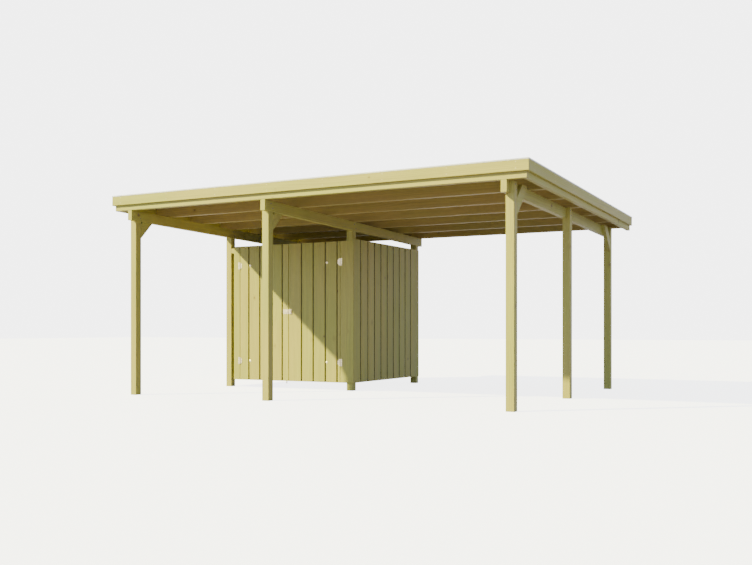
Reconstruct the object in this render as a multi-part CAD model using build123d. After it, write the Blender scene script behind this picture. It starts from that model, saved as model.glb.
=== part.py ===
from build123d import *
import os
from math import atan, degrees

# A timber carport for two cars with a storage room in its left rear bay.
# Sizes are in millimetres. The origin is on the ground at the middle of the roof's outline,
# +X is right along the front, +Y goes to the back and +Z is up.

# Frame
post = 90                 # square posts, also the scale of the whole
bay_left = 1975           # left to middle post row, centre to centre
bay_right = 2906          # middle to right post row, the bay that holds a car
bay_depth = 1908          # front to middle and middle to back posts
beam_width = 60
beam_height = 120
beam_nose = 140           # from the outer post centres to the beam's ends
seat_height = 2140        # beam's underside over the front posts' centres
fall = 0.0205             # the roof falls to the back by this much per unit of length
eased = 3                 # small chamfer along planed timber

# Roof
rafter_width = 60
rafter_height = 120
rafter_count = 7          # the first is the front rim
side_rim = 45             # thickness of the rims that close the rafters' ends
side_overhang = 232       # post centre to the roof's outer face, left and right
front_overhang = 170
rear_overhang = 415
fascia = 30               # thickness of the outer boards
fascia_height = 120
fascia_raise = 66         # how much of the rims shows under the outer boards
deck = 18
felt = 4
trim = 2
trim_lip = 12

# Braces
brace_width = 45
brace_height = 120
brace_reach = 205         # where the brace's underside meets the beam, from the post's face

# Storage room
board = 20                # thickness of the wall boards
wall_bottom = 103
front_top = 1971
side_top = 1996
rail_width = 60
rail_height = 70
corner_gap = 60           # the front boards stop this far from the left post's side
back_gap = 40             # the right boards stop this far from the back post's front
stud = 45
door_left_edge = 212      # from the left posts' centre line
door_meeting = 1027
door_right_edge = 1842
door_gap = 6
meeting_gap = 8
ledge_height = 95
ledge_thick = 22
ledge_low = 368          # the hinges and the ledges behind them share these heights
ledge_high = 1698
ledge_inset = 40

# Ironwork
plate_thick = 3
hinge_height = 96
hinge_fixed_reach = 31    # from the hinge pin to the fixed plate's outer edge
hinge_moving_reach = 36
hinge_end = 44            # the moving plate narrows to this height at its outer end
knuckle = 6               # radius of the hinge's barrel
knuckle_count = 5
bolt_left = 388           # coach bolts through the ledges, from the left posts' centre line
bolt_right = 1637
bolt_shank = 5
bolt_head = 17
bolt_dome = 6
latch_height = 64
latch_middle = 1048
rod = 7                   # radius of the drop bolt
rod_drop = 36             # how far the drop bolt reaches below the door

roof_width = bay_left + bay_right + 2 * side_overhang
roof_depth = front_overhang + 2 * bay_depth + rear_overhang
column_x = [-roof_width / 2 + side_overhang + x for x in (0, bay_left, bay_left + bay_right)]
row_y = [-roof_depth / 2 + front_overhang + k * bay_depth for k in range(3)]
columns = ("left", "middle", "right")
rows = ("front", "centre", "rear")
half = post / 2
slope = degrees(atan(fall))

# The roof's own plane: along it x is right, y is down the fall to the back, z is square to it,
# and its origin is on the beams' undersides over the front posts.
roof_plane = Plane(origin=(0, row_y[0], seat_height)).rotated((-slope, 0, 0))


def block(x0, x1, y0, y1, z0, z1):
    return Pos((x0 + x1) / 2, (y0 + y1) / 2, (z0 + z1) / 2) * Box(x1 - x0, y1 - y0, z1 - z0)


def eased_block(x0, x1, y0, y1, z0, z1, axis):
    piece = block(x0, x1, y0, y1, z0, z1)
    return chamfer(piece.edges().filter_by(axis), eased)


def on_roof(piece):
    return roof_plane.location * piece


def beam_span(column):
    # the outer half of each post rises beside the beam; the middle row is built like the left one
    x = column_x[column]
    if columns[column] == "right":
        return x - beam_width, x
    return x, x + beam_width


def make_beam(column):
    x0, x1 = beam_span(column)
    length = 2 * bay_depth + beam_nose
    return on_roof(eased_block(x0, x1, -beam_nose, length, 0, beam_height, Axis.Y))


def make_post(column, row):
    x, y = column_x[column], row_y[row]
    piece = eased_block(x - half, x + half, y - half, y + half, 0, seat_height + 2 * beam_height, Axis.Z)
    x0, x1 = beam_span(column)
    far = 2 * bay_depth + 1000
    seat = on_roof(block(x0, x1, -1000, far, 0, 1000))
    above = on_roof(block(x - post, x + post, -1000, far, beam_height, 1000))
    return piece - seat - above


def make_brace(column, row):
    # a brace stands in the plane of the post's right half, under or beside the beam
    x = column_x[column]
    inward = 1 if row == 0 else -1
    face = row_y[row] + inward * half
    top = beam_height if columns[column] == "right" else 0
    thick = brace_height * 2 ** 0.5
    rise = beam_height
    low = seat_height - brace_reach - fall * row * bay_depth
    outline = [(0, low), (brace_reach + rise, low + brace_reach + rise)]
    outline += [(brace_reach + rise - thick, low + brace_reach + rise), (0, low + thick)]
    points = [(face + inward * a, b) for a, b in outline]
    sketch = make_face(Polyline([(0, a, b) for a, b in points], close=True))
    piece = Pos(x, 0, 0) * extrude(sketch, amount=brace_width, dir=(1, 0, 0))
    above = on_roof(block(x - post, x + post, -1000, 2 * bay_depth + 1000, top, 1000))
    return piece - above


def rafter_place(index):
    first = -beam_nose + rafter_width / 2
    last = 2 * bay_depth + beam_nose - rafter_width / 2
    return first + (last - first) * index / (rafter_count - 1)


rim_outer = roof_width / 2 - fascia
rim_inner = rim_outer - side_rim
rafter_bottom = beam_height
rafter_top = beam_height + rafter_height
roof_front = -front_overhang
roof_rear = 2 * bay_depth + rear_overhang


def make_rafter(index):
    reach = rim_outer if index == 0 else rim_inner
    y = rafter_place(index)
    y0, y1 = y - rafter_width / 2, y + rafter_width / 2
    return on_roof(eased_block(-reach, reach, y0, y1, rafter_bottom, rafter_top, Axis.X))


def make_side_rim(side):
    # the rear end runs on under the rear outer board
    x0, x1 = sorted((side * rim_inner, side * rim_outer))
    y0 = -beam_nose + rafter_width
    rim = eased_block(x0, x1, y0, roof_rear, rafter_bottom, rafter_top, Axis.Y)
    lap = block(x0 - 10, x1 + 10, roof_rear - fascia, roof_rear + 10, rafter_bottom + fascia_raise, rafter_top + 10)
    return on_roof(rim - lap)


def make_fascia(side):
    z0 = rafter_bottom + fascia_raise
    z1 = z0 + fascia_height
    wide = roof_width / 2
    if side == "front":
        piece = eased_block(-wide, wide, roof_front, roof_front + fascia, z0, z1, Axis.X)
    elif side == "rear":
        piece = eased_block(-wide, wide, roof_rear - fascia, roof_rear, z0, z1, Axis.X)
    else:
        x0, x1 = (-wide, -wide + fascia) if side == "left" else (wide - fascia, wide)
        piece = eased_block(x0, x1, roof_front + fascia, roof_rear - fascia, z0, z1, Axis.Y)
    return on_roof(piece)


def roof_sheet(z0, z1):
    wide = roof_width / 2 - fascia
    return on_roof(block(-wide, wide, roof_front + fascia, roof_rear - fascia, z0, z1))


def make_edge_trim():
    # a thin metal angle over the outer boards' tops, with a lip down their faces
    z = rafter_bottom + fascia_raise + fascia_height
    wide = roof_width / 2
    outer = block(-wide - trim, wide + trim, roof_front - trim, roof_rear + trim, z - trim_lip, z + trim)
    core = block(-wide, wide, roof_front, roof_rear, z - 2 * trim_lip, z)
    middle = block(-wide + fascia, wide - fascia, roof_front + fascia, roof_rear - fascia, z - 50, z + 50)
    return on_roof(outer - core - middle)


# Storage room: its corners are the left and middle posts of the centre and rear rows
room_left = column_x[0] - half
room_right = column_x[1] + half
room_front = row_y[1] - half
room_rear = row_y[2] + half
hinge_left = column_x[0] + door_left_edge
hinge_right = column_x[0] + door_right_edge
meeting = column_x[0] + door_meeting


def wall_frame(x0, x1, y0, y1, top):
    # three rails between two posts, with an upright stud beside each post
    low_z = wall_bottom + 40
    high_z = top - 15 - rail_height
    frame = Part()
    for z in (low_z, (low_z + high_z) / 2, high_z):
        frame += block(x0, x1, y0, y1, z, z + rail_height)
    if x1 - x0 > y1 - y0:
        frame += block(x0, x0 + stud, y0, y1, low_z, high_z)
        frame += block(x1 - stud, x1, y0, y1, low_z, high_z)
    else:
        frame += block(x0, x1, y0, y0 + stud, low_z, high_z)
        frame += block(x0, x1, y1 - stud, y1, low_z, high_z)
    return frame


def make_wall_right():
    y_end = row_y[2] - half
    sheet = block(room_right, room_right + board, room_front, y_end - back_gap, wall_bottom, side_top)
    return sheet + wall_frame(room_right - rail_width, room_right, row_y[1] + half, y_end, side_top)


def make_wall_left():
    y_end = row_y[2] - half
    sheet = block(room_left - board, room_left, room_front + corner_gap, room_rear, wall_bottom, side_top)
    return sheet + wall_frame(room_left, room_left + rail_width, row_y[1] + half, y_end, side_top)


def make_wall_rear():
    sheet = block(room_left - board, room_right, room_rear, room_rear + board, wall_bottom, side_top)
    x0, x1 = column_x[0] + half, column_x[1] - half
    return sheet + wall_frame(x0, x1, room_rear - rail_width, room_rear, side_top)


def make_front_board(side):
    y0, y1 = room_front - board, room_front
    if side == "left":
        return block(column_x[0] + half + corner_gap, hinge_left - door_gap / 2, y0, y1, wall_bottom, front_top)
    return block(hinge_right + door_gap / 2, room_right + board, y0, y1, wall_bottom, front_top)


def make_jamb(side):
    # the upright that the leaf hangs beside, tied back to the corner post
    y0, y1 = room_front, room_front + rail_width
    z0, z1 = wall_bottom + 20, front_top - rail_height - 20
    if side == "left":
        # a board set back behind the upright closes the open corner beside the post
        x0, x1 = column_x[0] + half, hinge_left - door_gap
        return block(x1 - stud, x1, y0, y1, z0, z1) + block(x0, x1, y1, y1 + board, z0, z1)
    x0, x1 = hinge_right + door_gap, column_x[1] - half
    frame = block(x0, x0 + stud, y0, y1, z0, z1)
    for z in (z0, (z0 + z1 - rail_height) / 2, z1 - rail_height):
        frame += block(x0, x1, y0, y1, z, z + rail_height)
    return frame


def make_header():
    x0, x1 = column_x[0] + half, column_x[1] - half
    return block(x0, x1, room_front, room_front + rail_width, front_top - rail_height - 20, front_top - 20)


def leaf_span(side):
    if side == "left":
        return hinge_left + door_gap / 2, meeting - meeting_gap / 2
    return meeting + meeting_gap / 2, hinge_right - door_gap / 2


def make_door_leaf(side):
    x0, x1 = leaf_span(side)
    leaf = block(x0, x1, room_front - board, room_front, wall_bottom, front_top)
    return leaf - bolt_holes(side)


def make_ledges(side):
    # two ledges across the leaf's inner face and a brace rising away from the hinges' foot
    x0, x1 = leaf_span(side)
    a, b = x0 + ledge_inset, x1 - ledge_inset
    y0, y1 = room_front, room_front + ledge_thick
    w = ledge_height
    piece = Part()
    for z in (ledge_low, ledge_high):
        piece += block(a, b, y0, y1, z - w / 2, z + w / 2)
    z0, z1 = ledge_low + w / 2, ledge_high - w / 2
    foot, head, step = (a, b, w) if side == "left" else (b, a, -w)
    outline = [(foot, z0), (foot + step, z0), (head, z1), (head - step, z1)]
    sketch = make_face(Polyline([(x, y0, z) for x, z in outline], close=True))
    piece += extrude(sketch, amount=ledge_thick, dir=(0, 1, 0))
    return piece - bolt_holes(side)


def ledge_bolt_places(side):
    x = column_x[0] + (bolt_left if side == "left" else bolt_right)
    return [(x, ledge_low), (x, ledge_high)]


def bolt_holes(side):
    holes = Part()
    for x, z in ledge_bolt_places(side):
        holes += Pos(x, room_front, z) * Rot(90, 0, 0) * Cylinder(bolt_shank + 0.2, 200)
    return holes


def make_ledge_bolts(side):
    # coach bolts: a domed head outside, the shank, then a washer and a hexagon nut inside
    outer, inner = room_front - board, room_front + ledge_thick
    piece = Part()
    for x, z in ledge_bolt_places(side):
        ball = (bolt_head ** 2 + bolt_dome ** 2) / (2 * bolt_dome)
        dome = Sphere(ball) & Pos(0, 0, ball - bolt_dome / 2) * Box(3 * ball, 3 * ball, bolt_dome)
        dome = Pos(x, outer + ball - bolt_dome, z) * Rot(90, 0, 0) * dome
        shank = Pos(x, (outer + inner + 12) / 2, z) * Rot(90, 0, 0) * Cylinder(bolt_shank, inner + 12 - outer)
        washer = Pos(x, inner + 1, z) * Rot(90, 0, 0) * Cylinder(14, 2)
        nut = Pos(x, inner + 2, z) * Rot(-90, 0, 0) * extrude(RegularPolygon(9, 6), amount=8)
        piece += [dome + shank + washer + nut]
    return piece


def barrel_axis(side):
    x = hinge_left if side == "left" else hinge_right
    return x, room_front - board - knuckle


def make_hinge(side, half_of):
    # a plate with every other length of the barrel; the moving one narrows away from the pin
    x, y = barrel_axis(side)
    face = room_front - board
    fixed_way = -1 if side == "left" else 1
    way = fixed_way if half_of == "fixed" else -fixed_way
    first = 0 if half_of == "fixed" else 1
    length = hinge_height / knuckle_count
    piece = Part()
    for z in (ledge_low, ledge_high):
        near, tall = knuckle + 2, hinge_height / 2
        reach, low = (hinge_fixed_reach, tall) if half_of == "fixed" else (hinge_moving_reach, hinge_end / 2)
        outline = [(near, -tall), (reach, -low), (reach, low), (near, tall)]
        sketch = make_face(Polyline([(x + way * a, face, z + b) for a, b in outline], close=True))
        plate = extrude(sketch, amount=plate_thick, dir=(0, -1, 0))
        for k in range(first, knuckle_count, 2):
            middle = z - hinge_height / 2 + (k + 0.5) * length
            tall_part = length - 1
            x0, x1 = sorted((x, x + way * (near + 1)))
            plate += Pos(x, y, middle) * Cylinder(knuckle, tall_part)
            plate += block(x0, x1, face - plate_thick, face, middle - tall_part / 2, middle + tall_part / 2)
        piece += plate
    return piece


def make_latch():
    # the hasp's plate on the left leaf, with a raised slide that stops at the meeting line
    face = room_front - board
    z0, z1 = latch_middle - latch_height / 2, latch_middle + latch_height / 2
    plate = block(meeting - 87, meeting - meeting_gap / 2, face - plate_thick, face, z0, z1)
    slide = block(meeting - 60, meeting - meeting_gap / 2, face - 12, face, latch_middle - 14, latch_middle + 14)
    return plate + slide


def make_keeper():
    # the box on the right leaf that takes the slide
    face = room_front - board
    z0, z1 = latch_middle - latch_height / 2, latch_middle + latch_height / 2
    plate = block(meeting + meeting_gap / 2, meeting + 53, face - plate_thick, face, z0, z1)
    box = block(meeting + 12, meeting + 48, face - 18, face, latch_middle - 24, latch_middle + 24)
    pocket = block(meeting, meeting + 40, face - 15, face - plate_thick, latch_middle - 17, latch_middle + 17)
    return plate + box - pocket


def make_drop_bolt():
    y = room_front + ledge_thick + rod
    x = meeting - 60
    z0 = wall_bottom - rod_drop
    return Pos(x, y, z0 + 230) * Cylinder(rod, 460)


parts = {}
for c, column in enumerate(columns):
    parts[f"beam_{column}"] = make_beam(c)
    for r, row in enumerate(rows):
        parts[f"post_{column}_{row}"] = make_post(c, r)
    parts[f"brace_{column}_front"] = make_brace(c, 0)
parts["brace_right_rear"] = make_brace(2, 2)
parts["rim_front"] = make_rafter(0)
for k in range(1, rafter_count):
    parts[f"rafter_{k}"] = make_rafter(k)
parts["rim_left"] = make_side_rim(-1)
parts["rim_right"] = make_side_rim(1)
for side in ("front", "rear", "left", "right"):
    parts[f"fascia_{side}"] = make_fascia(side)
parts["roof_deck"] = roof_sheet(rafter_top, rafter_top + deck)
parts["roof_felt"] = roof_sheet(rafter_top + deck, rafter_top + deck + felt)
parts["edge_trim"] = make_edge_trim()
parts["wall_left"] = make_wall_left()
parts["wall_right"] = make_wall_right()
parts["wall_rear"] = make_wall_rear()
parts["door_header"] = make_header()
for side in ("left", "right"):
    parts[f"wall_front_{side}"] = make_front_board(side)
    parts[f"door_jamb_{side}"] = make_jamb(side)
    parts[f"door_leaf_{side}"] = make_door_leaf(side)
    parts[f"door_ledges_{side}"] = make_ledges(side)
    parts[f"ledge_bolts_{side}"] = make_ledge_bolts(side)
    parts[f"hinge_fixed_{side}"] = make_hinge(side, "fixed")
    parts[f"hinge_moving_{side}"] = make_hinge(side, "moving")
parts["door_latch"] = make_latch()
parts["latch_keeper"] = make_keeper()
parts["drop_bolt"] = make_drop_bolt()

os.makedirs("parts", exist_ok=True)
for name, solid in parts.items():
    export_step(solid, f"parts/{name}.step")
print(len(parts), "nodes written")
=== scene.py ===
import math

import bmesh
import bpy
from mathutils import Matrix, Vector


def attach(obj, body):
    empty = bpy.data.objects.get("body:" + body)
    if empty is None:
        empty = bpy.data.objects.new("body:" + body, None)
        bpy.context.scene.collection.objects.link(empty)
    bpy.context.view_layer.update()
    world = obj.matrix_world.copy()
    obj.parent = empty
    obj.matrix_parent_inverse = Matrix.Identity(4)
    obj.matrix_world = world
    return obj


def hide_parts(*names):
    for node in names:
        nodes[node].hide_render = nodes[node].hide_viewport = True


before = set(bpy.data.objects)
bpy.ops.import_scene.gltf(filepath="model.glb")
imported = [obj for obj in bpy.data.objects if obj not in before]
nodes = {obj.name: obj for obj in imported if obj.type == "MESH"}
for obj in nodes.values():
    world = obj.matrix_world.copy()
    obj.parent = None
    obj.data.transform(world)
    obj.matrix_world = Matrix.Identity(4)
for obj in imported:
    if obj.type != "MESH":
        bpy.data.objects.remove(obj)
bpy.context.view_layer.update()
print("frame loaded:", len(nodes), "nodes")

# Places in metres, set out from the centre lines of the left and front rows of posts
bayWidth, bayDepth = 1.975, 1.908
leftPosts, rightPosts = -2.4405, 2.4405
middlePosts = leftPosts + bayWidth
frontPosts = -2.0305
centrePosts, rearPosts = frontPosts + bayDepth, frontPosts + 2 * bayDepth
postHalf = 0.045
beamWidth = 0.060
seatHeight = 2.140         # underside of the beams at the front posts

# Faces of the posts round the storage room, where its walls are fixed
frontFace, rearFace = centrePosts - postHalf, rearPosts + postHalf
leftFace, rightFace = leftPosts - postHalf, middlePosts + postHalf

# The roof has its own tilted axes, with y from the front posts and z from the beams' seats
fall = 0.0205
roofPlace = Matrix.Translation((0, frontPosts, seatHeight)) @ Matrix.Rotation(-math.atan(fall), 4, "X")
roofWidth, roofDepth = 5.345, 4.401
roofFront = -0.170
roofRear = roofFront + roofDepth


def addObject(name, data):
    made = bpy.data.objects.new(name, data)
    bpy.context.scene.collection.objects.link(made)
    return made


# Camera
cameraPlace = {"place": (5.4755, -10.4905, 0.808), "turn": 0.4921, "lens": 43.331, "sensor": 36,
               "shiftX": -0.0011, "shiftY": 0.0622}
cameraData = bpy.data.cameras.new("photoCamera")
cameraData.sensor_width = cameraPlace["sensor"]
cameraData.lens = cameraPlace["lens"]
cameraData.shift_x = cameraPlace["shiftX"]
cameraData.shift_y = cameraPlace["shiftY"]
camera = addObject("photoCamera", cameraData)
camera.location = cameraPlace["place"]
camera.rotation_euler = (math.pi / 2, 0, cameraPlace["turn"])
bpy.context.scene.camera = camera


# Node helpers
mostOfNoise = (0.3, 0.7)   # a noise pattern seldom leaves these values
wideOfNoise = (0.2, 0.8)


def newMaterial(name):
    material = bpy.data.materials.new(name)
    material.use_nodes = True
    tree = material.node_tree
    shader = tree.nodes["Principled BSDF"]
    return material, tree, shader


def addNode(tree, kind, **values):
    node = tree.nodes.new(kind)
    for key, value in values.items():
        setattr(node, key, value)
    return node


def feed(tree, socket, value):
    # a number, colour or vector is set on the socket, anything else is linked to it
    if isinstance(value, bpy.types.NodeSocket):
        tree.links.new(value, socket)
    else:
        socket.default_value = value


def maths(tree, operation, a, b):
    node = addNode(tree, "ShaderNodeMath", operation=operation)
    feed(tree, node.inputs[0], a)
    feed(tree, node.inputs[1], b)
    return node.outputs[0]


def vectorMaths(tree, operation, a, b=(0, 0, 0)):
    node = addNode(tree, "ShaderNodeVectorMath", operation=operation)
    feed(tree, node.inputs[0], a)
    feed(tree, node.inputs[1], b)
    return node.outputs["Value"] if operation == "LENGTH" else node.outputs[0]


def stretched(tree, vector, along, across=1.0):
    # a pattern's coordinates scaled apart along the grain, which is x, and across it
    return vectorMaths(tree, "MULTIPLY", vector, (along, across, across))


def objectPlace(tree):
    return addNode(tree, "ShaderNodeTexCoord").outputs["Object"]


def attribute(tree, name):
    return addNode(tree, "ShaderNodeAttribute", attribute_name=name).outputs["Fac"]


def spread(tree, value, low, high, toLow=0.0, toHigh=1.0):
    node = addNode(tree, "ShaderNodeMapRange", interpolation_type="SMOOTHSTEP")
    feed(tree, node.inputs["Value"], value)
    for key, number in (("From Min", low), ("From Max", high), ("To Min", toLow), ("To Max", toHigh)):
        node.inputs[key].default_value = number
    return node.outputs["Result"]


def noise(tree, vector, scale, detail=3.0, roughness=0.5):
    node = addNode(tree, "ShaderNodeTexNoise")
    feed(tree, node.inputs["Vector"], vector)
    node.inputs["Scale"].default_value = scale
    node.inputs["Detail"].default_value = detail
    node.inputs["Roughness"].default_value = roughness
    return node.outputs["Fac"]


def cellPattern(tree, vector, scale, randomness=1.0):
    # the pattern's node, and the channels of each cell's own random colour
    node = addNode(tree, "ShaderNodeTexVoronoi", feature="F1")
    feed(tree, node.inputs["Vector"], vector)
    node.inputs["Scale"].default_value = scale
    node.inputs["Randomness"].default_value = randomness
    luck = addNode(tree, "ShaderNodeSeparateColor")
    feed(tree, luck.inputs[0], node.outputs["Color"])
    return node, luck.outputs


def luckOfBoard(tree):
    node = addNode(tree, "ShaderNodeTexWhiteNoise", noise_dimensions="1D")
    feed(tree, node.inputs["W"], attribute(tree, "boardNo"))
    return node.outputs["Value"]


def blendColours(tree, amount, a, b, mode="MIX"):
    node = addNode(tree, "ShaderNodeMix", data_type="RGBA", blend_type=mode)
    feed(tree, node.inputs["Factor"], amount)
    feed(tree, node.inputs["A"], a)
    feed(tree, node.inputs["B"], b)
    return node.outputs["Result"]


def bumped(tree, shader, height, strength, distance):
    node = addNode(tree, "ShaderNodeBump")
    feed(tree, node.inputs["Height"], height)
    node.inputs["Strength"].default_value = strength
    node.inputs["Distance"].default_value = distance
    tree.links.new(node.outputs["Normal"], shader.inputs["Normal"])


# Timber
pine = {
    "green": (0.545, 0.532, 0.122, 1),     # treated pine, the greener patches
    "tan": (0.592, 0.535, 0.138, 1),       # and the warmer ones
    "late": (0.340, 0.270, 0.065, 1),      # dark lines of the year rings
    "knot": (0.230, 0.150, 0.050, 1),
    "joint": (0.085, 0.066, 0.026, 1),     # painted shade, down in the open joints between boards
    "jointShadeShare": 0.95,
    "boardShift": (3.71, 0.37, 1.13),      # how far the pattern moves on from board to board
    "hueEdges": (0.38, 0.62),              # of the patch pattern, where green turns to tan
    "ringWidth": 0.0085,
    "ringSlant": 0.83,
    "ringWaver": 0.16,
    "ringPush": 0.012,                     # how far a knot pushes the rings aside
    "ringSharpness": 3.0,
    "ringShares": (0.10, 0.42),            # from faint to strong
    "ringClouds": (0.25, 1.6, 3.0),        # stretch along and across, scale
    "knotStep": (0.62, 0.105),             # cell of one knot, along and across the grain
    "knotSquash": 0.75,
    "knotJitter": 0.85,
    "knotOdds": 0.42,                      # share of the cells that have a knot
    "knotSizes": (0.6, 1.35),
    "knotRadius": 0.013,
    "knotEdge": (0.55, 1.25),              # in knot radii
    "haloEdge": (0.8, 3.2),
    "knotShare": 0.65,
    "haloShare": 0.28,
    "fibre": (0.03, 620.0, 2.0, 0.6),      # stretch along the grain, scale, detail, roughness
    "waver": (0.10, 5.0, 2.0, 0.45),
    "patch": (0.35, 2.3, 2.0, 0.5),
    "streak": (0.05, 26.0, 3.0, 0.6),
    "boardTones": (0.93, 1.05),
    "streakTones": (0.91, 1.07),
    "fibreTones": (0.96, 1.04),
    "roughness": 0.50,
    "smoother": 0.06,
    "rougher": 0.08,
    "specular": 0.32,
    "relief": {"fibre": 0.5, "late": -0.6, "knot": 0.6},
    "bump": (0.35, 0.0006),
}


def boardPlace(tree, turn):
    # turn brings the timber's length onto the pattern's x
    turned = addNode(tree, "ShaderNodeMapping", vector_type="POINT")
    feed(tree, turned.inputs["Vector"], objectPlace(tree))
    turned.inputs["Rotation"].default_value = turn
    board = attribute(tree, "boardNo")
    apart = addNode(tree, "ShaderNodeCombineXYZ")
    for axis, shift in zip("XYZ", pine["boardShift"]):
        feed(tree, apart.inputs[axis], maths(tree, "MULTIPLY", board, shift))
    return vectorMaths(tree, "ADD", turned.outputs["Vector"], apart.outputs[0])


def knotPattern(tree, place, knots):
    # one point in each long cell, most of them left out
    along, across = pine["knotStep"]
    cellPlace = stretched(tree, place, 1 / along, 1 / across)
    cells, luck = cellPattern(tree, cellPlace, 1.0, pine["knotJitter"])
    fromKnot = vectorMaths(tree, "SUBTRACT", cellPlace, cells.outputs["Position"])
    distance = vectorMaths(tree, "LENGTH", stretched(tree, fromKnot, along * pine["knotSquash"], across))
    chosen = maths(tree, "GREATER_THAN", luck[0], 1.0 - pine["knotOdds"] * knots)
    size = spread(tree, luck[1], 0.0, 1.0, *pine["knotSizes"])
    nearness = maths(tree, "DIVIDE", distance, maths(tree, "MULTIPLY", size, pine["knotRadius"]))
    knot = maths(tree, "MULTIPLY", spread(tree, nearness, *pine["knotEdge"], 1.0, 0.0), chosen)
    halo = maths(tree, "MULTIPLY", spread(tree, nearness, *pine["haloEdge"], 1.0, 0.0), chosen)
    return knot, halo


def grainLayer(tree, place, layer):
    stretch, scale, detail, roughness = pine[layer]
    return noise(tree, stretched(tree, place, stretch), scale, detail, roughness)


def yearRings(tree, place, halo):
    # long wavering lines, pushed aside where they pass a knot
    waver = grainLayer(tree, place, "waver")
    split = addNode(tree, "ShaderNodeSeparateXYZ")
    feed(tree, split.inputs[0], place)
    slanted = maths(tree, "MULTIPLY", split.outputs["Z"], pine["ringSlant"])
    depth = maths(tree, "ADD", split.outputs["Y"], slanted)
    depth = maths(tree, "ADD", depth, maths(tree, "MULTIPLY", waver, pine["ringWaver"]))
    depth = maths(tree, "ADD", depth, maths(tree, "MULTIPLY", halo, pine["ringPush"]))
    rings = maths(tree, "PINGPONG", depth, pine["ringWidth"])
    rings = maths(tree, "DIVIDE", rings, pine["ringWidth"])
    late = maths(tree, "POWER", rings, pine["ringSharpness"])
    along, across, scale = pine["ringClouds"]
    clouds = noise(tree, stretched(tree, place, along, across), scale)
    return maths(tree, "MULTIPLY", late, spread(tree, clouds, *mostOfNoise, *pine["ringShares"]))


def timber(name, turn=(0, 0, 0), shade=1.0, knots=1.0, warmth=0.0, tint=(1.0, 1.0, 1.0)):
    material, tree, shader = newMaterial(name)
    place = boardPlace(tree, turn)
    knot, halo = knotPattern(tree, place, knots)
    late = yearRings(tree, place, halo)
    fibre = grainLayer(tree, place, "fibre")
    patch = grainLayer(tree, place, "patch")
    streak = grainLayer(tree, place, "streak")

    # the base colour, lighter or darker from board to board and along the grain
    greenest, warmest = pine["hueEdges"]
    hue = spread(tree, patch, greenest - warmth, warmest - warmth)
    base = blendColours(tree, hue, pine["green"], pine["tan"])
    darkest, lightest = pine["boardTones"]
    light = spread(tree, luckOfBoard(tree), 0.0, 1.0, darkest * shade, lightest * shade)
    light = maths(tree, "MULTIPLY", light, spread(tree, streak, *wideOfNoise, *pine["streakTones"]))
    light = maths(tree, "MULTIPLY", light, spread(tree, fibre, *wideOfNoise, *pine["fibreTones"]))
    lightColour = addNode(tree, "ShaderNodeCombineColor")
    for channel in range(3):
        feed(tree, lightColour.inputs[channel], maths(tree, "MULTIPLY", light, tint[channel]))
    base = blendColours(tree, 1.0, base, lightColour.outputs[0], "MULTIPLY")

    # then the rings, the knots and the painted shade down in the joints
    base = blendColours(tree, late, base, pine["late"])
    base = blendColours(tree, maths(tree, "MULTIPLY", halo, pine["haloShare"]), base, pine["late"])
    base = blendColours(tree, maths(tree, "MULTIPLY", knot, pine["knotShare"]), base, pine["knot"])
    # faces marked as lying in a joint take painted shade
    paintedJointShade = maths(tree, "MULTIPLY", attribute(tree, "jointShadeAndTar"), pine["jointShadeShare"])
    tree.links.new(blendColours(tree, paintedJointShade, base, pine["joint"]), shader.inputs["Base Color"])

    smoothest = pine["roughness"] - pine["smoother"]
    roughest = pine["roughness"] + pine["rougher"]
    feed(tree, shader.inputs["Roughness"], spread(tree, streak, *wideOfNoise, smoothest, roughest))
    shader.inputs["Specular IOR Level"].default_value = pine["specular"]
    relief = pine["relief"]
    raised = maths(tree, "MULTIPLY", fibre, relief["fibre"])
    raised = maths(tree, "ADD", raised, maths(tree, "MULTIPLY", late, relief["late"]))
    raised = maths(tree, "ADD", raised, maths(tree, "MULTIPLY", knot, relief["knot"]))
    bumped(tree, shader, raised, *pine["bump"])
    return material


quarter = math.pi / 2
timberAlongX = timber("timberAlongX")
timberAlongY = timber("timberAlongY", (0, 0, -quarter))
timberAlongZ = timber("timberAlongZ", (0, quarter, 0))
braceFront = timber("braceFrontTimber", (0, quarter / 2, -quarter), knots=0.6)
braceRear = timber("braceRearTimber", (0, -quarter / 2, -quarter), knots=0.6)
wallTimber = timber("wallBoards", (0, quarter, 0), shade=1.02, knots=0.75)
rafterTimber = timber("rafterTimber", tint=(1.0, 0.91, 1.25))
deckTimber = timber("deckBoards", (0, 0, -quarter), shade=0.92, knots=0.8, warmth=0.08,
                    tint=(0.96, 0.84, 1.45))
# a darker copy of the timber, with painted shade, for the jambs that stand back in the recesses beside the
# doors
jambShadedTimber = timber("jambShadedTimber", (0, quarter, 0), shade=0.38, tint=(1.0, 0.93, 1.0))


# Metal
zincFinish = {
    "fittings": {"light": (0.90, 0.79, 0.52, 1), "dark": (0.78, 0.67, 0.42, 1),
                 "spangle": 95.0, "roughness": 0.36},
    "coach": {"light": (0.97, 0.88, 0.56, 1), "dark": (0.88, 0.79, 0.49, 1),
              "spangle": 140.0, "roughness": 0.40},
    "bolts": {"light": (0.34, 0.31, 0.26, 1), "dark": (0.22, 0.20, 0.17, 1),
              "spangle": 160.0, "roughness": 0.48},
    "trim": {"light": (0.60, 0.60, 0.58, 1), "dark": (0.47, 0.48, 0.47, 1),
             "spangle": 40.0, "roughness": 0.42},
    "clouds": 34.0,
    "spangleShare": 0.35,
    "cloudShare": 0.5,
    "metallic": 0.85,
    "smoother": 0.06,
    "rougher": 0.12,
    "bump": (0.15, 0.0004),
}


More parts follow.
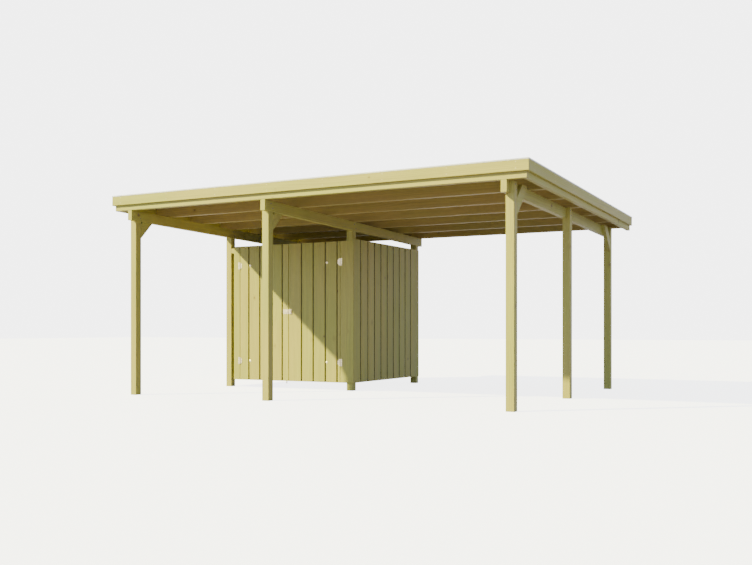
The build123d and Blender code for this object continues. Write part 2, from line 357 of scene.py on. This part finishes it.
def zinc(name, kind):
    finish = zincFinish[kind]
    material, tree, shader = newMaterial(name)
    place = objectPlace(tree)
    luck = cellPattern(tree, place, finish["spangle"])[1]
    clouds = noise(tree, place, zincFinish["clouds"])
    flakes = maths(tree, "MULTIPLY", luck[0], zincFinish["spangleShare"])
    amount = maths(tree, "ADD", flakes, maths(tree, "MULTIPLY", clouds, zincFinish["cloudShare"]))
    base = blendColours(tree, amount, finish["light"], finish["dark"])
    tree.links.new(base, shader.inputs["Base Color"])
    shader.inputs["Metallic"].default_value = zincFinish["metallic"]
    smoothest = finish["roughness"] - zincFinish["smoother"]
    roughest = finish["roughness"] + zincFinish["rougher"]
    feed(tree, shader.inputs["Roughness"], spread(tree, clouds, *mostOfNoise, smoothest, roughest))
    bumped(tree, shader, clouds, *zincFinish["bump"])
    return material


zincFittings = zinc("zincFittings", "fittings")
coachZinc = zinc("coachZinc", "coach")
boltSteel = zinc("boltSteel", "bolts")
trimSheet = zinc("trimSheet", "trim")


# Roof felt
feltFinish = {
    "stone": (0.038, 0.042, 0.050, 1),
    "light": (0.105, 0.112, 0.130, 1),
    "tar": (0.010, 0.010, 0.011, 1),
    "grain": 900.0,
    "clouds": (1.7, 4.0, 0.55),            # scale, detail, roughness
    "cloudTones": (0.60, 0.90),
    "rowTones": (0.70, 1.15),
    "roughness": 0.92,
    "bump": (0.5, 0.0012),
}


def mineralFelt():
    material, tree, shader = newMaterial("mineralFelt")
    place = objectPlace(tree)
    grit, luck = cellPattern(tree, place, feltFinish["grain"])
    clouds = noise(tree, place, *feltFinish["clouds"])
    amount = maths(tree, "MULTIPLY", luck[0], spread(tree, clouds, *mostOfNoise, *feltFinish["cloudTones"]))
    rowTone = spread(tree, luckOfBoard(tree), 0.0, 1.0, *feltFinish["rowTones"])
    amount = maths(tree, "MULTIPLY", amount, rowTone)
    base = blendColours(tree, amount, feltFinish["stone"], feltFinish["light"])
    base = blendColours(tree, attribute(tree, "jointShadeAndTar"), base, feltFinish["tar"])
    tree.links.new(base, shader.inputs["Base Color"])
    shader.inputs["Roughness"].default_value = feltFinish["roughness"]
    bumped(tree, shader, grit.outputs["Distance"], *feltFinish["bump"])
    return material


feltSurface = mineralFelt()
print("materials made")


# Mesh helpers
axisX, axisY, axisZ = 0, 1, 2
squarely = 0.95            # a normal's share along an axis from which a face counts as facing it
hair = 1e-6                # an edge shorter than this along an axis doesn't run along it


def startPiece():
    bm = bmesh.new()
    bm.verts.layers.float.new("boardNo")
    # a mark for painted shade in the joints, and for the felt's tar
    bm.loops.layers.float.new("jointShadeAndTar")
    return bm


def addBlock(bm, low, high, number, ease=0.0, steps=1, edgeAxis=axisX):
    # a block between two corners, with the edges that run along edgeAxis eased
    before = set(bm.verts)
    middle = [(a + b) / 2 for a, b in zip(low, high)]
    sizes = [b - a for a, b in zip(low, high)]
    place = Matrix.Translation(middle) @ Matrix.Diagonal((*sizes, 1))
    made = bmesh.ops.create_cube(bm, size=1, matrix=place)["verts"]
    if ease:
        edges = {e for v in made for e in v.link_edges}
        edges = {e for e in edges if abs((e.verts[0].co - e.verts[1].co)[edgeAxis]) > hair}
        bmesh.ops.bevel(bm, geom=list(edges), offset=ease, affect="EDGES", segments=steps, profile=0.5,
                        material=-1)
    layer = bm.verts.layers.float["boardNo"]
    new = [v for v in bm.verts if v not in before]
    for v in new:
        v[layer] = number
    return new


def darkenFaces(bm, verts, chosen, level=1.0):
    # marks the faces of a block that lie down in a joint, out of the light, for painted shade; the felt's
    # tar takes the same mark
    layer = bm.loops.layers.float["jointShadeAndTar"]
    for face in {f for v in verts for f in v.link_faces}:
        face.normal_update()
        if chosen(face.normal):
            for loop in face.loops:
                loop[layer] = level


def finishPiece(bm, name, body, material, place=None):
    if place is not None:
        bmesh.ops.transform(bm, matrix=place, verts=bm.verts)
    bmesh.ops.recalc_face_normals(bm, faces=bm.faces)
    mesh = bpy.data.meshes.new(name)
    bm.to_mesh(mesh)
    bm.free()
    mesh.materials.append(material)
    piece = addObject(name, mesh)
    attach(piece, body)
    return piece


# Frame timber and ironwork: the solids keep their shape and take their finish
finishes = (
    (("post_",), timberAlongZ),
    (("beam_", "rim_left", "rim_right", "fascia_left", "fascia_right"), timberAlongY),
    (("rafter_",), rafterTimber),
    (("rim_front", "fascia_front", "fascia_rear", "door_header", "door_ledges"), timberAlongX),
    (("brace_right_rear",), braceRear),
    (("brace_left_front", "brace_middle_front", "brace_right_front"), braceFront),
    (("door_jamb",), jambShadedTimber),
    (("ledge_bolts",), coachZinc),
    (("hinge_", "door_latch", "latch_keeper", "drop_bolt"), zincFittings),
    (("edge_trim",), trimSheet),
)
for starts, material in finishes:
    for name in nodes:
        if name.startswith(starts):
            for materialSlot in nodes[name].material_slots:
                materialSlot.material = material
print("frame timber finished")


# Wall boards
wallBoards = {
    "thick": 0.020,
    "bottom": 0.103,
    "frontTop": 1.971,
    "sideTop": 1.996,
    "joint": 0.020,        # open width of the joint on the face
    "tongueDepth": 0.0155, # from the face to the tongue
    "tongueThick": 0.003,  # the rest is a shallow joint on the back
    "tongueHold": 0.001,   # how far a tongue reaches into the boards beside it
    "ease": 0.0030,
    "easeSteps": 2,
    "cover": 0.188,
    "leftStart": 0.060,    # the left wall starts this far behind the front face of the posts
}
# Each wall's boards lie along way, measured from origin, and face outward. The photo's joints are paler in
# the front wall than in the right one, so the painted shade in the joints differs too, wall by wall.
walls = {
    "front": {"origin": (leftPosts, frontFace, 0), "way": (1, 0, 0), "outward": (0, -1, 0),
              "top": wallBoards["frontTop"], "paintedJointShade": 0.65},
    "right": {"origin": (rightFace, 0, 0), "way": (0, 1, 0), "outward": (1, 0, 0),
              "top": wallBoards["sideTop"], "paintedJointShade": 1.0},
    "left": {"origin": (leftFace, 0, 0), "way": (0, 1, 0), "outward": (-1, 0, 0),
             "top": wallBoards["sideTop"], "paintedJointShade": 1.0},
    "rear": {"origin": (0, rearFace, 0), "way": (1, 0, 0), "outward": (0, 1, 0),
             "top": wallBoards["sideTop"], "paintedJointShade": 1.0},
}


def boardRun(name, body, wall, cuts, replaced, seed):
    # boards side by side from the first cut to the last, with tongues in the joints between them and
    # painted shade on the faces down in the joints
    s = wallBoards
    bm = startPiece()
    half = s["joint"] / 2
    last = len(cuts) - 2
    tongueBack = s["thick"] - s["tongueDepth"] - s["tongueThick"]
    tongueHalf = half + s["tongueHold"]
    for k in range(len(cuts) - 1):
        lowEnd, highEnd = k == 0, k == last
        a = cuts[k] + (0 if lowEnd else half)
        b = cuts[k + 1] - (0 if highEnd else half)
        made = addBlock(bm, (a, 0, s["bottom"]), (b, s["thick"], wall["top"]), seed + k, s["ease"],
                        s["easeSteps"], axisZ)
        darkenFaces(bm, made,
                    lambda n: (n.x < -squarely and not lowEnd) or (n.x > squarely and not highEnd),
                    wall["paintedJointShade"])
        if not lowEnd:
            made = addBlock(bm, (cuts[k] - tongueHalf, tongueBack, s["bottom"]),
                            (cuts[k] + tongueHalf, tongueBack + s["tongueThick"], wall["top"]), seed + k)
            darkenFaces(bm, made, lambda n: n.y > squarely, wall["paintedJointShade"])
    axes = Matrix((wall["way"], wall["outward"], (0, 0, 1))).transposed().to_4x4()
    place = Matrix.Translation(wall["origin"]) @ axes
    piece = finishPiece(bm, name, body, wallTimber, place)
    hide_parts(replaced)


def evenCuts(start, end, step):
    count = round((end - start) / step)
    return [start + (end - start) * k / count for k in range(count + 1)]


# the front wall and the leaves are cut where the photo shows their joints, and so is the right wall
wallCuts = {
    "fixedLeft": [0.105, 0.209],
    "leafLeft": [0.215, 0.364, 0.550, 0.737, 0.924, 1.023],
    "leafRight": [1.031, 1.237, 1.424, 1.614, 1.796, 1.839],
    "fixedRight": [1.845, 2.040],
    "right": [frontPosts + y for y in
              (1.861, 2.050, 2.248, 2.436, 2.624, 2.812, 3.000, 3.188, 3.376, 3.556, 3.731)],
    "left": evenCuts(frontFace + wallBoards["leftStart"], rearFace, wallBoards["cover"]),
    "rear": evenCuts(leftFace - wallBoards["thick"], rightFace, wallBoards["cover"]),
}
boardRun("frontBoardsLeft", "frame", walls["front"], wallCuts["fixedLeft"], "wall_front_left", 1)
boardRun("leafBoardsLeft", "left_door", walls["front"], wallCuts["leafLeft"], "door_leaf_left", 11)
boardRun("leafBoardsRight", "right_door", walls["front"], wallCuts["leafRight"], "door_leaf_right", 21)
boardRun("frontBoardsRight", "frame", walls["front"], wallCuts["fixedRight"], "wall_front_right", 31)
boardRun("rightWallBoards", "frame", walls["right"], wallCuts["right"], "wall_right", 41)
boardRun("leftWallBoards", "frame", walls["left"], wallCuts["left"], "wall_left", 61)
boardRun("rearWallBoards", "frame", walls["rear"], wallCuts["rear"], "wall_rear", 81)
print("wall boards made")


# Rails and studs inside the walls
wallFrame = {"deep": 0.060, "rail": 0.070, "stud": 0.045, "low": 0.143, "topGap": 0.015, "ease": 0.002,
             "studSeed": 5}
railLow = wallFrame["low"]
railHigh = wallBoards["sideTop"] - wallFrame["topGap"] - wallFrame["rail"]
railMiddle = (railLow + railHigh) / 2
railLevels = (railLow, railMiddle, railHigh)


def railsAndStuds(name, low, high, railTimber, seed):
    # three rails between two corners on plan, and a stud at each end between them
    s = wallFrame
    x0, y0 = low
    x1, y1 = high
    alongX = x1 - x0 > y1 - y0
    bm = startPiece()
    for k, z in enumerate(railLevels):
        addBlock(bm, (x0, y0, z), (x1, y1, z + s["rail"]), seed + k, s["ease"], 1,
                 axisX if alongX else axisY)
    finishPiece(bm, name + "Rails", "frame", railTimber)

    bm = startPiece()
    t = s["stud"]
    ends = [(x0, x0 + t), (x1 - t, x1)] if alongX else [(y0, y0 + t), (y1 - t, y1)]
    for k, (a, b) in enumerate(ends):
        for below, above in zip(railLevels, railLevels[1:]):
            foot = (a, y0, below + s["rail"]) if alongX else (x0, a, below + s["rail"])
            head = (b, y1, above) if alongX else (x1, b, above)
            addBlock(bm, foot, head, seed + s["studSeed"] + k, s["ease"], 1, axisZ)
    finishPiece(bm, name + "Studs", "frame", timberAlongZ)


innerFront, innerRear = centrePosts + postHalf, rearPosts - postHalf
innerLeft, innerRight = leftPosts + postHalf, middlePosts - postHalf
frameDeep = wallFrame["deep"]
railsAndStuds("rightWall", (rightFace - frameDeep, innerFront), (rightFace, innerRear), timberAlongY, 3)
railsAndStuds("leftWall", (leftFace, innerFront), (leftFace + frameDeep, innerRear), timberAlongY, 13)
railsAndStuds("rearWall", (innerLeft, rearFace - frameDeep), (innerRight, rearFace), timberAlongX, 23)
print("wall frames made")


# Roof deck and felt
roofDeck = {"board": 0.120, "thick": 0.018, "joint": 0.0012, "ease": 0.004, "edge": 0.030, "base": 0.240,
            "seed": 100}
feltSheets = {"cover": 0.92, "lap": 0.080, "thick": 0.0035, "lift": 0.0015, "bleed": 0.011,
              "tarHalf": 0.001, "leastRow": 0.01, "edge": 0.001}
deckHalf = roofWidth / 2 - roofDeck["edge"]
deckFront, deckRear = roofFront + roofDeck["edge"], roofRear - roofDeck["edge"]
deckBase = roofDeck["base"]
deckTop = deckBase + roofDeck["thick"]


def layDeck():
    bm = startPiece()
    count = round(2 * deckHalf / roofDeck["board"])
    jointHalf = roofDeck["joint"] / 2
    for k in range(count):
        a = -deckHalf + 2 * deckHalf * k / count
        b = -deckHalf + 2 * deckHalf * (k + 1) / count
        addBlock(bm, (a + jointHalf, deckFront, deckBase), (b - jointHalf, deckRear, deckTop),
                 roofDeck["seed"] + k, roofDeck["ease"], 1, axisY)
    deck = finishPiece(bm, "deckBoards", "frame", deckTimber, roofPlace)
    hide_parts("roof_deck")


def layFelt():
    # rows laid from the rear up the fall, each with its lower edge over the row before
    s = feltSheets
    bm = startPiece()
    top = deckTop + s["thick"]
    start = deckRear
    row = 0
    while start > deckFront + s["leastRow"]:
        end = max(start - s["cover"] - s["lap"], deckFront)
        made = addBlock(bm, (-deckHalf, end, deckTop), (deckHalf, start, top), row)
        if row:
            for v in made:
                if v.co.y > start - s["edge"]:
                    v.co.z += s["lift"]
            # tar pressed out along the lap
            made = addBlock(bm, (-deckHalf, start, top - s["tarHalf"]),
                            (deckHalf, start + s["bleed"], top + s["tarHalf"]), row)
            darkenFaces(bm, made, lambda n: True)
        start -= s["cover"]
        row += 1
    felt = finishPiece(bm, "feltSheets", "frame", feltSurface, roofPlace)
    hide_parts("roof_felt")


layDeck()
layFelt()
print("roof deck and felt made")


# Screws and nails
screwShape = {
    "sides": 12,
    "taper": 0.72,
    "socket": 0.38,        # rim left round the socket, in radii
    "socketDepth": 0.6,
    "wood": (0.0042, 0.0010),              # radius and dome of the head
    "bolt": (0.0065, 0.0025),
    "catch": (0.0030, 0.0008),
}
nailShape = {
    "sides": 8,
    "radius": 0.0022,
    "height": 0.0012,
    "taper": 0.7,
    "inset": 0.036,        # from the edge of a wide board
    "halfGap": 0.014,      # least, from the middle of a board to a nail of its pair
    "leastInset": 0.02,    # a board with less has one nail in its middle
}


def facing(place, axis):
    turn = Vector((0, 0, 1)).rotation_difference(Vector(axis)).to_matrix().to_4x4()
    return Matrix.Translation(place) @ turn


def addScrew(bm, place, axis, radius, dome):
    # a low domed head that faces along axis, with a socket in it
    s = screwShape
    matrix = facing(place, axis)
    middle = matrix @ Matrix.Translation((0, 0, dome / 2))
    head = bmesh.ops.create_cone(bm, cap_ends=True, segments=s["sides"], radius1=radius,
                                 radius2=radius * s["taper"], depth=dome, matrix=middle)
    back = matrix.inverted()
    faces = [f for v in head["verts"] for f in v.link_faces]
    top = max(faces, key=lambda f: (back @ f.calc_center_median()).z)
    bmesh.ops.inset_individual(bm, faces=[top], thickness=radius * s["socket"])
    bmesh.ops.translate(bm, verts=list(top.verts), vec=Vector(axis) * (-dome * s["socketDepth"]))


def screwSet(name, body, places, kind, material):
    # places holds pairs of a point and the way the head faces
    radius, dome = screwShape[kind]
    bm = startPiece()
    for place, axis in places:
        addScrew(bm, place, axis, radius, dome)
    finishPiece(bm, name, body, material)


def nailSet(name, body, wall, run, heights):
    # two nails through each board at each height, or one where the board is narrow
    s = nailShape
    origin, way, outward = (Vector(wall[key]) for key in ("origin", "way", "outward"))
    surface = origin + outward * wallBoards["thick"]
    bm = startPiece()
    for a, b in zip(run, run[1:]):
        inset = min(s["inset"], (b - a) / 2 - s["halfGap"])
        columns = (a + inset, b - inset) if inset > s["leastInset"] else ((a + b) / 2,)
        for z in heights:
            for along in columns:
                matrix = facing(surface + way * along + Vector((0, 0, z)), outward)
                bmesh.ops.create_cone(bm, cap_ends=True, segments=s["sides"], radius1=s["radius"],
                                      radius2=s["radius"] * s["taper"], depth=s["height"], matrix=matrix)
    finishPiece(bm, name, body, boltSteel)


outerFront = frontFace - wallBoards["thick"]
plateFace = outerFront - 0.003             # front of the hinge plates and of the latch
left, right, front, rear = (-1, 0, 0), (1, 0, 0), (0, -1, 0), (0, 1, 0)

# the plates' holes lie aside from the hinge's pin and above or below its middle
hinges = {
    "heights": (0.368, 1.698),
    "Left": {"pin": leftPosts + 0.212, "fixedWay": -1, "leaf": "left_door"},
    "Right": {"pin": leftPosts + 1.842, "fixedWay": 1, "leaf": "right_door"},
    "Fixed": ((0.0195, 0.034), (0.0195, 0.0), (0.0195, -0.034)),
    "Moving": ((0.0150, 0.030), (0.0150, -0.030), (0.0275, 0.0)),
}
for side in ("Left", "Right"):
    hinge = hinges[side]
    plates = (("Fixed", hinge["fixedWay"], "frame"), ("Moving", -hinge["fixedWay"], hinge["leaf"]))
    for which, way, body in plates:
        places = [((hinge["pin"] + way * aside, plateFace, z + above), front)
                  for z in hinges["heights"] for aside, above in hinges[which]]
        screwSet("hingeScrews" + which + side, body, places, "wood", boltSteel)

# nails go into the rails of the walls, and into the ledges of the leaves
railNails = [z + wallFrame["rail"] / 2 for z in railLevels]
ledgeSpread = 0.030
ledgeNails = [z + away for z in hinges["heights"] for away in (-ledgeSpread, ledgeSpread)]
nailSet("fixedLeftNails", "frame", walls["front"], wallCuts["fixedLeft"], railNails)
nailSet("leafLeftNails", "left_door", walls["front"], wallCuts["leafLeft"], ledgeNails)
nailSet("leafRightNails", "right_door", walls["front"], wallCuts["leafRight"], ledgeNails)
nailSet("fixedRightNails", "frame", walls["front"], wallCuts["fixedRight"], railNails)
nailSet("rightWallNails", "frame", walls["right"], wallCuts["right"], railNails)
nailSet("leftWallNails", "frame", walls["left"], wallCuts["left"], railNails)
nailSet("rearWallNails", "frame", walls["rear"], wallCuts["rear"], railNails)

# the latch plate's corners and the free edge of its keeper
catch = {"heights": (1.025, 1.071), "plate": (-1.4925, -1.4270), "keeper": (-1.3655,)}
for name, body, columns in (("latchScrews", "left_door", catch["plate"]),
                            ("keeperScrews", "right_door", catch["keeper"])):
    places = [((x, plateFace, z), front) for x in columns for z in catch["heights"]]
    screwSet(name, body, places, "catch", boltSteel)

# two bolts hold each beam to the outer half of the post's head
beamBolts = {"aside": 0.018, "upper": 0.088, "lower": 0.036}
bolts = []
for face in (leftPosts + beamWidth, middlePosts + beamWidth, rightPosts + postHalf):
    for y in (frontPosts, centrePosts, rearPosts):
        seat = seatHeight - fall * (y - frontPosts)
        bolts.append(((face, y - beamBolts["aside"], seat + beamBolts["upper"]), right))
        bolts.append(((face, y + beamBolts["aside"], seat + beamBolts["lower"]), right))
screwSet("beamBolts", "frame", bolts, "bolt", boltSteel)

# the braces are screwed from below into post and beam, and beside the right beam through its face
braces = {
    "middle": 0.0225,      # of a brace's thickness, from the posts' centre line
    "frontFoot": 1.935,
    "rearFoot": 1.8568,
    "rises": (0.050, 0.150),
    "beside": ((-1.735, 2.228), (-1.785, 2.185), (1.4905, 2.150), (1.5405, 2.108)),
}
slant = Vector((0, 1, -1)).normalized()
frontRow = [(x + braces["middle"], frontPosts + postHalf, braces["frontFoot"], 1)
            for x in (leftPosts, middlePosts, rightPosts)]
rearOne = (rightPosts + braces["middle"], rearPosts - postHalf, braces["rearFoot"], -1)
places = []
for x, y, foot, way in frontRow + [rearOne]:
    for rise in braces["rises"]:
        places.append(((x, y + way * rise, foot + rise), (0, slant.y * way, slant.z)))
for y, z in braces["beside"]:
    places.append(((rightPosts + postHalf, y, z), right))
screwSet("braceScrews", "frame", places, "wood", boltSteel)

# pairs of screws along the outer boards of the roof, in the roof's own axes
fascia = {"columns": 8, "xEnds": (-2.54, 2.54), "rows": 7, "yEnds": (0.02, 4.04), "heights": (0.215, 0.277)}


def evenly(ends, count):
    low, high = ends
    return [low + (high - low) * k / (count - 1) for k in range(count)]


places = []
tilt = roofPlace.to_3x3()
for x in evenly(fascia["xEnds"], fascia["columns"]):
    for z in fascia["heights"]:
        places.append((roofPlace @ Vector((x, roofFront, z)), tilt @ Vector(front)))
        places.append((roofPlace @ Vector((x, roofRear, z)), tilt @ Vector(rear)))
for y in evenly(fascia["yEnds"], fascia["rows"]):
    for z in fascia["heights"]:
        places.append((roofPlace @ Vector((-roofWidth / 2, y, z)), left))
        places.append((roofPlace @ Vector((roofWidth / 2, y, z)), right))
screwSet("fasciaScrews", "frame", places, "wood", zincFittings)
print("screws and nails set")


# Floor and light
studio = {
    "sunTravel": (1.125, 1.03, -1.05),
    "sunEnergy": 10.5,
    "sunSoftness": 1.2,                    # degrees across
    "sunColour": (1.0, 0.92, 0.30),
    "skyColour": (0.68, 0.86, 1.14, 1),
    "skyHeight": 0.6,                      # from here up the sky is as bright as at its top
    "horizon": 1.34,
    "zenith": 0.58,
    "sunward": (-0.75, -0.66),             # on plan, where the sky is brightest
    "awayShare": 0.45,
    "sunwardShare": 1.25,
    "shine": 0.9,                          # added where a shiny face sees the sky
    "backdrop": 5.0,                       # what the camera sees of the sky
    "floorGlow": 4.2,                      # and of the floor
    "floorShine": 1.15,
    "floorBounce": (0.175, 0.150, 0.27, 1),
    "floorPaint": (0.8, 0.8, 0.8, 1),
    "floorRoughness": 0.9,
    "floorSize": 60,
    "floorDrop": 0.0005,
}
white = (1, 1, 1, 1)


def addSun():
    sunData = bpy.data.lights.new("sun", "SUN")
    sunData.energy = studio["sunEnergy"]
    sunData.angle = math.radians(studio["sunSoftness"])
    sunData.color = studio["sunColour"]
    sun = addObject("sun", sunData)
    sun.rotation_euler = Vector(studio["sunTravel"]).to_track_quat("-Z", "Y").to_euler()


def addSky():
    # a cool sky, brighter low down and towards the sun, lights the shaded sides
    world = bpy.data.worlds.new("studio")
    world.use_nodes = True
    tree = world.node_tree
    background = tree.nodes["Background"]
    path = addNode(tree, "ShaderNodeLightPath")
    seenByCamera, seenInShine = path.outputs["Is Camera Ray"], path.outputs["Is Glossy Ray"]
    towards = addNode(tree, "ShaderNodeSeparateXYZ")
    feed(tree, towards.inputs[0], addNode(tree, "ShaderNodeTexCoord").outputs["Generated"])
    level = spread(tree, towards.outputs["Z"], 0.0, studio["skyHeight"],
                   studio["horizon"], studio["zenith"])
    sunward = maths(tree, "ADD", maths(tree, "MULTIPLY", towards.outputs["X"], studio["sunward"][0]),
                    maths(tree, "MULTIPLY", towards.outputs["Y"], studio["sunward"][1]))
    share = spread(tree, sunward, -1.0, 1.0, studio["awayShare"], studio["sunwardShare"])
    level = maths(tree, "MULTIPLY", level, share)
    level = maths(tree, "ADD", level, maths(tree, "MULTIPLY", seenInShine, studio["shine"]))

    # the camera sees a plain pale backdrop in its place
    unseen = maths(tree, "SUBTRACT", 1.0, seenByCamera)
    sightLevel = maths(tree, "MULTIPLY", seenByCamera, studio["backdrop"])
    strength = maths(tree, "ADD", sightLevel, maths(tree, "MULTIPLY", level, unseen))
    feed(tree, background.inputs["Strength"], strength)
    plain = maths(tree, "MAXIMUM", seenByCamera, seenInShine)
    feed(tree, background.inputs["Color"], blendColours(tree, plain, studio["skyColour"], white))
    bpy.context.scene.world = world


def floorMaterial():
    # pale to the camera, while the light it throws back up has a colour of its own
    material, tree, shader = newMaterial("paleFloor")
    path = addNode(tree, "ShaderNodeLightPath")
    seenByCamera, seenInShine = path.outputs["Is Camera Ray"], path.outputs["Is Glossy Ray"]
    base = blendColours(tree, seenByCamera, studio["floorBounce"], studio["floorPaint"])
    feed(tree, shader.inputs["Base Color"], base)
    shader.inputs["Roughness"].default_value = studio["floorRoughness"]
    shader.inputs["Specular IOR Level"].default_value = 0.0
    shader.inputs["Emission Color"].default_value = white
    glow = maths(tree, "ADD", maths(tree, "MULTIPLY", seenByCamera, studio["floorGlow"]),
                 maths(tree, "MULTIPLY", seenInShine, studio["floorShine"]))
    feed(tree, shader.inputs["Emission Strength"], glow)
    return material


addSun()
addSky()
bm = bmesh.new()
bmesh.ops.create_grid(bm, x_segments=1, y_segments=1, size=studio["floorSize"])
floorMesh = bpy.data.meshes.new("floor")
bm.to_mesh(floorMesh)
bm.free()
floorMesh.materials.append(floorMaterial())
floor = addObject("floor", floorMesh)
floor.location = (0, 0, -studio["floorDrop"])
print("stage set")
